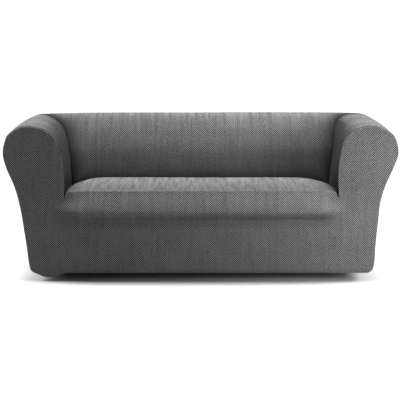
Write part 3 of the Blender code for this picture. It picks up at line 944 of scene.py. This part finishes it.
class ClothSettings(bpy.types.PropertyGroup):
    """The knit and how it lies."""

    diamond_size: metres("Diamond Size", "Width and height of a knitted diamond", 0.0112)
    band_width: metres("Band Width", "Width of a pair of upright bands", 0.0440)
    yarn_width: metres("Yarn Width", "Spacing of the yarns across a band", 0.0016)
    wander: metres("Wander", "How far the stretched grain strays", 0.006)
    wander_scale: number("Wander Scale", "Strays of the grain in each metre", 16.0)
    diamond_contrast: number("Diamond Contrast", "How far the diamonds show", 1.25)
    twill_contrast: number("Twill Contrast", "How far single yarns show", 0.12)
    twill_relief: number("Twill Relief", "How far single yarns stand out", 0.22)
    speck_scale: number("Speck Scale", "Specks of yarn in each metre", 160.0)
    speck_contrast: number("Speck Contrast", "How far specks show", 1.5)
    speck_relief: number("Speck Relief", "How far specks stand out", 0.5)
    patch_scale: number("Patch Scale", "Slow changes of tone in each metre", 7.0)
    patch_contrast: number("Patch Contrast", "How far they show", 0.12)
    patch_relief: number("Patch Relief", "How far the diamonds come and go", 1.0)
    tone_upright: number("Tone on Walls", "Light yarn where it stands", 0.245)
    # painted light: the extra light yarn on level cloth stands in for the light from above
    painted_top_light: number("Painted Top Light", "Extra light yarn where it lies", 0.13)
    streak_scale: number("Streak Scale", "Uneven upright streaks in each metre", 55.0)
    streak_stretch: number("Streak Stretch", "Width of a streak by its length", 0.07)
    streak_upright: number("Streaks on Walls", "Streaks where it stands", 0.35)
    streak_level: number("Streaks on Level Cloth", "Extra streaks where it lies", 1.25)
    dark_yarn: tint("Dark Yarn", "Colour of the dark yarn", (0.010, 0.010, 0.010))
    light_yarn: tint("Light Yarn", "Colour of the light yarn", (0.165, 0.165, 0.168))
    # painted shade: the colour that the knit is darkened towards, and how far, along the seams, in
    # the tucks and their hollows, down the back, on the arms' inside, at the seat's front and in
    # the crease, where shade falls
    painted_shade_colour: tint("Painted Shade Colour", "Colour deep in a seam", (0.004, 0.004, 0.004))
    seam_shade: number("Seam Shade", "How dark a seam gets", 0.92)
    seam_shade_width: metres("Seam Shade Width", "Reach of that shade", 0.0060)
    valley_shade: number("Valley Shade", "How dark a tuck gets", 0.95)
    valley_width: metres("Valley Width", "Reach of that shade", 0.0065)
    hollow_shade: number("Hollow Shade", "How dark the way to a tuck gets", 0.92)
    hollow_width: metres("Hollow Width", "Reach of that shade", 0.055)
    depth_shade: number("Depth Shade", "How dark the back gets towards the seat", 0.40)
    depth_top: metres("Depth Top", "Height at which that starts", 0.80)
    wall_shade: number("Wall Shade", "How dark the arms' inside gets", 0.85)
    edge_shade: number("Edge Shade", "How dark the seat gets towards its front", 0.40)
    crease_shade: number("Crease Shade", "How dark the crease in front gets", 0.42)
    seam_depth: metres("Seam Depth", "How far a seam draws the cloth in", 0.0028)
    seam_width: metres("Seam Width", "Reach of that draw", 0.0045)
    swell_height: metres("Swell Height", "Height of slow swells under the cloth", 0.0022)
    swell_scale: number("Swell Scale", "Slow swells in each metre", 3.1)
    sheen: number("Sheen", "Soft sheen of the knit", 0.02)
    bump_strength: number("Bump Strength", "Strength of the knit's relief", 0.8)
    bump_height: metres("Bump Height", "Height of the knit's relief", 0.0009)


class StitchSettings(bpy.types.PropertyGroup):
    """Thread of the seams and the hem."""

    pitch: metres("Stitch Pitch", "Length from one stitch to the next", 0.0042)
    length: metres("Stitch Length", "Thread that shows in a stitch", 0.0031)
    thread: metres("Thread", "Thickness of the thread", 0.0007)
    sides: IntProperty(name="Thread Sides", description="Faces round a stitch", default=5)
    colour: tint("Thread Colour", "Colour of the thread", (0.045, 0.045, 0.048))
    dark: number("Dark Fibres", "Tone of its dark fibres", 0.6)
    fibre_scale: number("Fibre Scale", "Fibres in each metre", 1500.0)


class StageSettings(bpy.types.PropertyGroup):
    """Floor, lights and camera."""

    floor_colour: tint("Floor Colour", "Colour of the pale floor", (0.250, 0.250, 0.250))
    sky: number("Sky", "Strength of the even light", 0.03)
    haze: number("Haze", "Strength of the horizon", 1.10)
    haze_height: number("Haze Height", "How far up that reaches", 0.06)
    lamp_power: number("Lamp Power", "Power of the soft lamps, as a share", 1.0)
    top_strength: number("Top Strength", "Strength of the light from overhead", 13.4)
    top_angle: number("Top Angle", "Softness of that light, in degrees", 28.0)
    top_place: triple("Top Direction", "Where it comes from", (-0.02, 0.095, 1.0), "DIRECTION")
    camera_lens: number("Camera Lens", "Focal length in millimetres", 110.0)
    camera_distance: metres("Camera Distance", "Front of the arms to the camera", 6.137)
    camera_height: metres("Camera Height", "Its height over the floor", 1.418)
    camera_tilt: number("Camera Tilt", "Degrees that it looks down", 9.2)


# ---- stitches, by Geometry Nodes

def stitch_tree(name):
    """Lays stitches along the edges of a mesh."""
    tree = bpy.data.node_groups.new(name, "GeometryNodeTree")
    for title, in_out, kind in (
        ("Geometry", "INPUT", "Geometry"),
        ("Pitch", "INPUT", "Float"),
        ("Length", "INPUT", "Float"),
        ("Radius", "INPUT", "Float"),
        ("Sides", "INPUT", "Int"),
        ("Material", "INPUT", "Material"),
        ("Geometry", "OUTPUT", "Geometry"),
    ):
        tree.interface.new_socket(title, in_out=in_out, socket_type="NodeSocket" + kind)
    node = tree.nodes.new
    given = node("NodeGroupInput")
    curve = node("GeometryNodeMeshToCurve")
    resample = node("GeometryNodeResampleCurve")
    resample.mode = "LENGTH"
    stitch = node("GeometryNodeMeshCylinder")
    tangent = node("GeometryNodeInputTangent")
    align = node("FunctionNodeAlignRotationToVector")
    align.axis = "Z"
    instances = node("GeometryNodeInstanceOnPoints")
    realize = node("GeometryNodeRealizeInstances")
    paint = node("GeometryNodeSetMaterial")
    result = node("NodeGroupOutput")
    for source, output, target, title in (
        (given, "Geometry", curve, "Mesh"),
        (curve, "Curve", resample, "Curve"),
        (given, "Pitch", resample, "Length"),
        (given, "Sides", stitch, "Vertices"),
        (given, "Radius", stitch, "Radius"),
        (given, "Length", stitch, "Depth"),
        (tangent, "Tangent", align, "Vector"),
        (resample, "Curve", instances, "Points"),
        (stitch, "Mesh", instances, "Instance"),
        (align, "Rotation", instances, "Rotation"),
        (instances, "Instances", realize, "Geometry"),
        (realize, "Geometry", paint, "Geometry"),
        (given, "Material", paint, "Material"),
        (paint, "Geometry", result, "Geometry"),
    ):
        tree.links.new(source.outputs[output], target.inputs[title])
    return tree


def thread_material(thread):
    material = bpy.data.materials.new("charcoal_thread")
    sheet = NodeSheet(material, "Principled BSDF")
    place = sheet.add("ShaderNodeTexCoord").outputs["Object"]
    fibres = sheet.noise(place, thread.fibre_scale, 2.0)
    dark = opaque([value * thread.dark for value in thread.colour])
    sheet.fill(sheet.shader, {
        "Base Color": sheet.blend(fibres, dark, opaque(thread.colour)),
        "Roughness": 0.7,
        "Sheen Weight": 0.1,
    })
    return material


def stitched(name, lines, thread):
    """A mesh of stitches along each line of points."""
    vertices = []
    edges = []
    for line in lines:
        start = len(vertices)
        vertices += (line - ORIGIN).tolist()
        edges += [(start + k, start + k + 1) for k in range(len(line) - 1)]
    mesh = bpy.data.meshes.new(name + "_line")
    mesh.from_pydata(vertices, edges, [])
    guide = new_object(name + "_line", mesh)
    tree = stitch_tree(name)
    modifier = guide.modifiers.new("Stitches", "NODES")
    modifier.node_group = tree
    values = {
        "Pitch": thread.pitch,
        "Length": thread.length,
        "Radius": thread.thread / 2.0,
        "Sides": thread.sides,
        "Material": thread_material(thread),
    }
    for item in tree.interface.items_tree:
        if item.in_out == "INPUT" and item.name in values:
            modifier[item.identifier] = values[item.name]
    depsgraph = bpy.context.evaluated_depsgraph_get()
    made = bpy.data.meshes.new_from_object(guide.evaluated_get(depsgraph))
    made.name = name
    bpy.data.objects.remove(guide, do_unlink=True)
    piece = new_object(name, made)
    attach(piece, "root")


def on_surface(name, line, lift):
    """The line moved onto the named panel's finished surface, and lifted off it."""
    surface = finished_surface(name)
    vertices = surface["vertices"]
    tree = search_tree(vertices)
    laid = np.empty_like(line)
    for k, place in enumerate(line):
        _, i, _ = tree.find(place)
        normal = surface["normals"][i]
        height = np.dot(vertices[i] - place, normal)
        laid[k] = place + normal * (height + lift)
    return laid


def hem_lines():
    """The hem's stitching: across the front, along both sides and across the rear."""
    row = AT["hem_bend"] * FINENESS
    left = ARM_GRIDS[LEFT][row]
    right = ARM_GRIDS[RIGHT][row]
    x = np.linspace(left[0, 0] + RIM_RADIUS, right[0, 0] - RIM_RADIUS, HEM_POINTS)
    front_z = hem_height(x) + HEM_LINE
    rear_z = HEM_HEIGHT + HEM_LINE
    return {
        "front_panel": points(x, front_depth(x, front_z), front_z),
        "arm_panel_left": left[2:-2],
        "arm_panel_right": right[2:-2],
        "outside_back_panel": points(x, rear_depth(x, rear_z), rear_z),
    }


# ---- floor, lights and camera

FLOOR_HALF = 14.0            # half of the floor's side
# name, power, size, spread in degrees, place, target
LAMPS = (
    ("key", 19.0, 1.0, 90.0, (1.7, -1.9, -0.1), (0.75, -0.37, -0.45)),
    ("back", 1.0, 0.4, 36.0, (-0.3, -0.8, 1.3), (0.42, -0.02, 0.02)),
    ("fill_left", 15.0, 1.0, 60.0, (-2.1, -0.25, 0.0), (-1.0, -0.45, -0.8)),
    ("fill_right", 15.0, 1.0, 60.0, (2.1, -0.25, 0.0), (1.0, -0.45, -0.8)),
)


def stage_floor(stage):
    mesh = bpy.data.meshes.new("floor")
    corners = np.array([(-1, -1, 0), (1, -1, 0), (1, 1, 0), (-1, 1, 0)]) * FLOOR_HALF
    corners[:, 2] = FLOOR_HEIGHT
    mesh.from_pydata(corners.tolist(), [], [(0, 1, 2, 3)])
    material = bpy.data.materials.new("pale_floor")
    sheet = NodeSheet(material, "Principled BSDF")
    colour = opaque(stage.floor_colour)
    sheet.fill(sheet.shader, {"Base Color": colour, "Roughness": 0.9})
    mesh.materials.append(material)
    new_object("floor", mesh)


def stage_sky(stage):
    """White at the horizon and dim overhead."""
    world = bpy.data.worlds.new("studio")
    sheet = NodeSheet(world, "Background")
    split = sheet.add("ShaderNodeSeparateXYZ")
    sheet.put(split.inputs[0], sheet.add("ShaderNodeTexCoord").outputs["Generated"])
    haze = sheet.add("ShaderNodeMapRange", interpolation_type="SMOOTHSTEP")
    sheet.fill(haze, {
        "Value": split.outputs["Z"],
        "From Min": 0.0,
        "From Max": stage.haze_height,
        "To Min": stage.haze,
        "To Max": stage.sky,
    })
    white = (1.0, 1.0, 1.0, 1.0)
    sheet.fill(sheet.shader, {"Color": white, "Strength": haze.outputs["Result"]})
    bpy.context.scene.world = world


def aimed(name, lamp, place, target):
    """Puts a lamp in the scene, pointed at the target."""
    light = new_object(name, lamp)
    light.location = place
    light.rotation_euler = (Vector(target) - Vector(place)).to_track_quat("-Z", "Y").to_euler()


def stage_lamps(stage):
    """Soft square lamps whose light keeps within a cone, and the light from overhead."""
    for name, power, size, spread, place, target in LAMPS:
        lamp = bpy.data.lights.new(name, "AREA")
        lamp.shape = "SQUARE"
        lamp.size = size
        lamp.energy = power * stage.lamp_power
        lamp.spread = radians(spread)
        aimed(name, lamp, place, target)
    top = bpy.data.lights.new("top", "SUN")
    top.energy = stage.top_strength
    top.angle = radians(stage.top_angle)
    aimed("top", top, stage.top_place, (0.0, 0.0, 0.0))
    bpy.context.scene.view_settings.view_transform = "Standard"


def stage_camera(stage):
    camera = new_object("camera", bpy.data.cameras.new("camera"))
    camera.data.lens = stage.camera_lens
    place = Vector((0.0, -stage.camera_distance, stage.camera_height))
    camera.location = place - Vector(ORIGIN)
    camera.rotation_euler = (radians(90.0 - stage.camera_tilt), 0.0, 0.0)
    bpy.context.scene.camera = camera


# ---- operators, one for each piece or group of like pieces

class SLIPCOVER_OT_front(bpy.types.Operator):
    """Lay the front panel: both arm fronts, the cushion's front and the apron"""

    bl_idname = "slipcover.front"
    bl_label = "Front Panel"

    def execute(self, context):
        make_panel("front_panel")
        return {"FINISHED"}


class SLIPCOVER_OT_seat(bpy.types.Operator):
    """Lay the seat panel"""

    bl_idname = "slipcover.seat"
    bl_label = "Seat Panel"

    def execute(self, context):
        make_panel("seat_panel")
        return {"FINISHED"}


class SLIPCOVER_OT_inside_back(bpy.types.Operator):
    """Lay the inside back and carry it over the crest"""

    bl_idname = "slipcover.inside_back"
    bl_label = "Inside Back"

    def execute(self, context):
        make_panel("inside_back_panel")
        return {"FINISHED"}


class SLIPCOVER_OT_outside_back(bpy.types.Operator):
    """Lay the outside back from the crest to the hem"""

    bl_idname = "slipcover.outside_back"
    bl_label = "Outside Back"

    def execute(self, context):
        make_panel("outside_back_panel")
        return {"FINISHED"}


class SLIPCOVER_OT_arms(bpy.types.Operator):
    """Lay both arm panels over their rolls"""

    bl_idname = "slipcover.arms"
    bl_label = "Arm Panels"

    def execute(self, context):
        make_panel("arm_panel_left")
        make_panel("arm_panel_right")
        return {"FINISHED"}


class SLIPCOVER_OT_stitches(bpy.types.Operator):
    """Sew the hem and the turned seams"""

    bl_idname = "slipcover.stitches"
    bl_label = "Stitches"

    def execute(self, context):
        settings = context.scene.slipcover_stitches
        lift = settings.thread / 4.0
        hem = [on_surface(name, line, lift) for name, line in hem_lines().items()]
        stitched("hem_stitches", hem, settings)
        sink = -settings.thread / 4.0
        seams = [on_surface("front_panel", FRONT_PATH, sink)]
        seams.append(on_surface("outside_back_panel", REAR_PATH, sink))
        stitched("seam_stitches", seams, settings)
        return {"FINISHED"}


class SLIPCOVER_OT_stage(bpy.types.Operator):
    """Set out the pale floor, the lights and the camera"""

    bl_idname = "slipcover.stage"
    bl_label = "Stage"

    def execute(self, context):
        settings = context.scene.slipcover_stage
        stage_floor(settings)
        stage_sky(settings)
        stage_lamps(settings)
        stage_camera(settings)
        return {"FINISHED"}


class SLIPCOVER_PT_sidebar(bpy.types.Panel):
    """Lists the slipcover's pieces and sizes"""

    bl_idname = "SLIPCOVER_PT_sidebar"
    bl_label = "Slipcover"
    bl_space_type = "VIEW_3D"
    bl_region_type = "UI"
    bl_category = "Slipcover"

    def draw(self, context):
        for group in ("slipcover_cloth", "slipcover_stitches", "slipcover_stage"):
            box = self.layout.box()
            settings = getattr(context.scene, group)
            for name in settings.__annotations__:
                box.prop(settings, name)
        for operator in OPERATORS:
            self.layout.operator(operator.bl_idname)


OPERATORS = (
    SLIPCOVER_OT_stage,
    SLIPCOVER_OT_front,
    SLIPCOVER_OT_seat,
    SLIPCOVER_OT_inside_back,
    SLIPCOVER_OT_outside_back,
    SLIPCOVER_OT_arms,
    SLIPCOVER_OT_stitches,
)
SETTINGS = {
    "slipcover_cloth": ClothSettings,
    "slipcover_stitches": StitchSettings,
    "slipcover_stage": StageSettings,
}


def register():
    for name, settings in SETTINGS.items():
        bpy.utils.register_class(settings)
        setattr(bpy.types.Scene, name, PointerProperty(type=settings))
    for item in (*OPERATORS, SLIPCOVER_PT_sidebar):
        bpy.utils.register_class(item)


def unregister():
    for item in (SLIPCOVER_PT_sidebar, *reversed(OPERATORS)):
        bpy.utils.unregister_class(item)
    for name, settings in SETTINGS.items():
        delattr(bpy.types.Scene, name)
        bpy.utils.unregister_class(settings)


def main():
    register()
    bpy.ops.slipcover.stage()
    bpy.ops.slipcover.front()
    bpy.ops.slipcover.seat()
    bpy.ops.slipcover.inside_back()
    bpy.ops.slipcover.outside_back()
    bpy.ops.slipcover.arms()
    bpy.ops.slipcover.stitches()


if __name__ == "__main__":
    main()
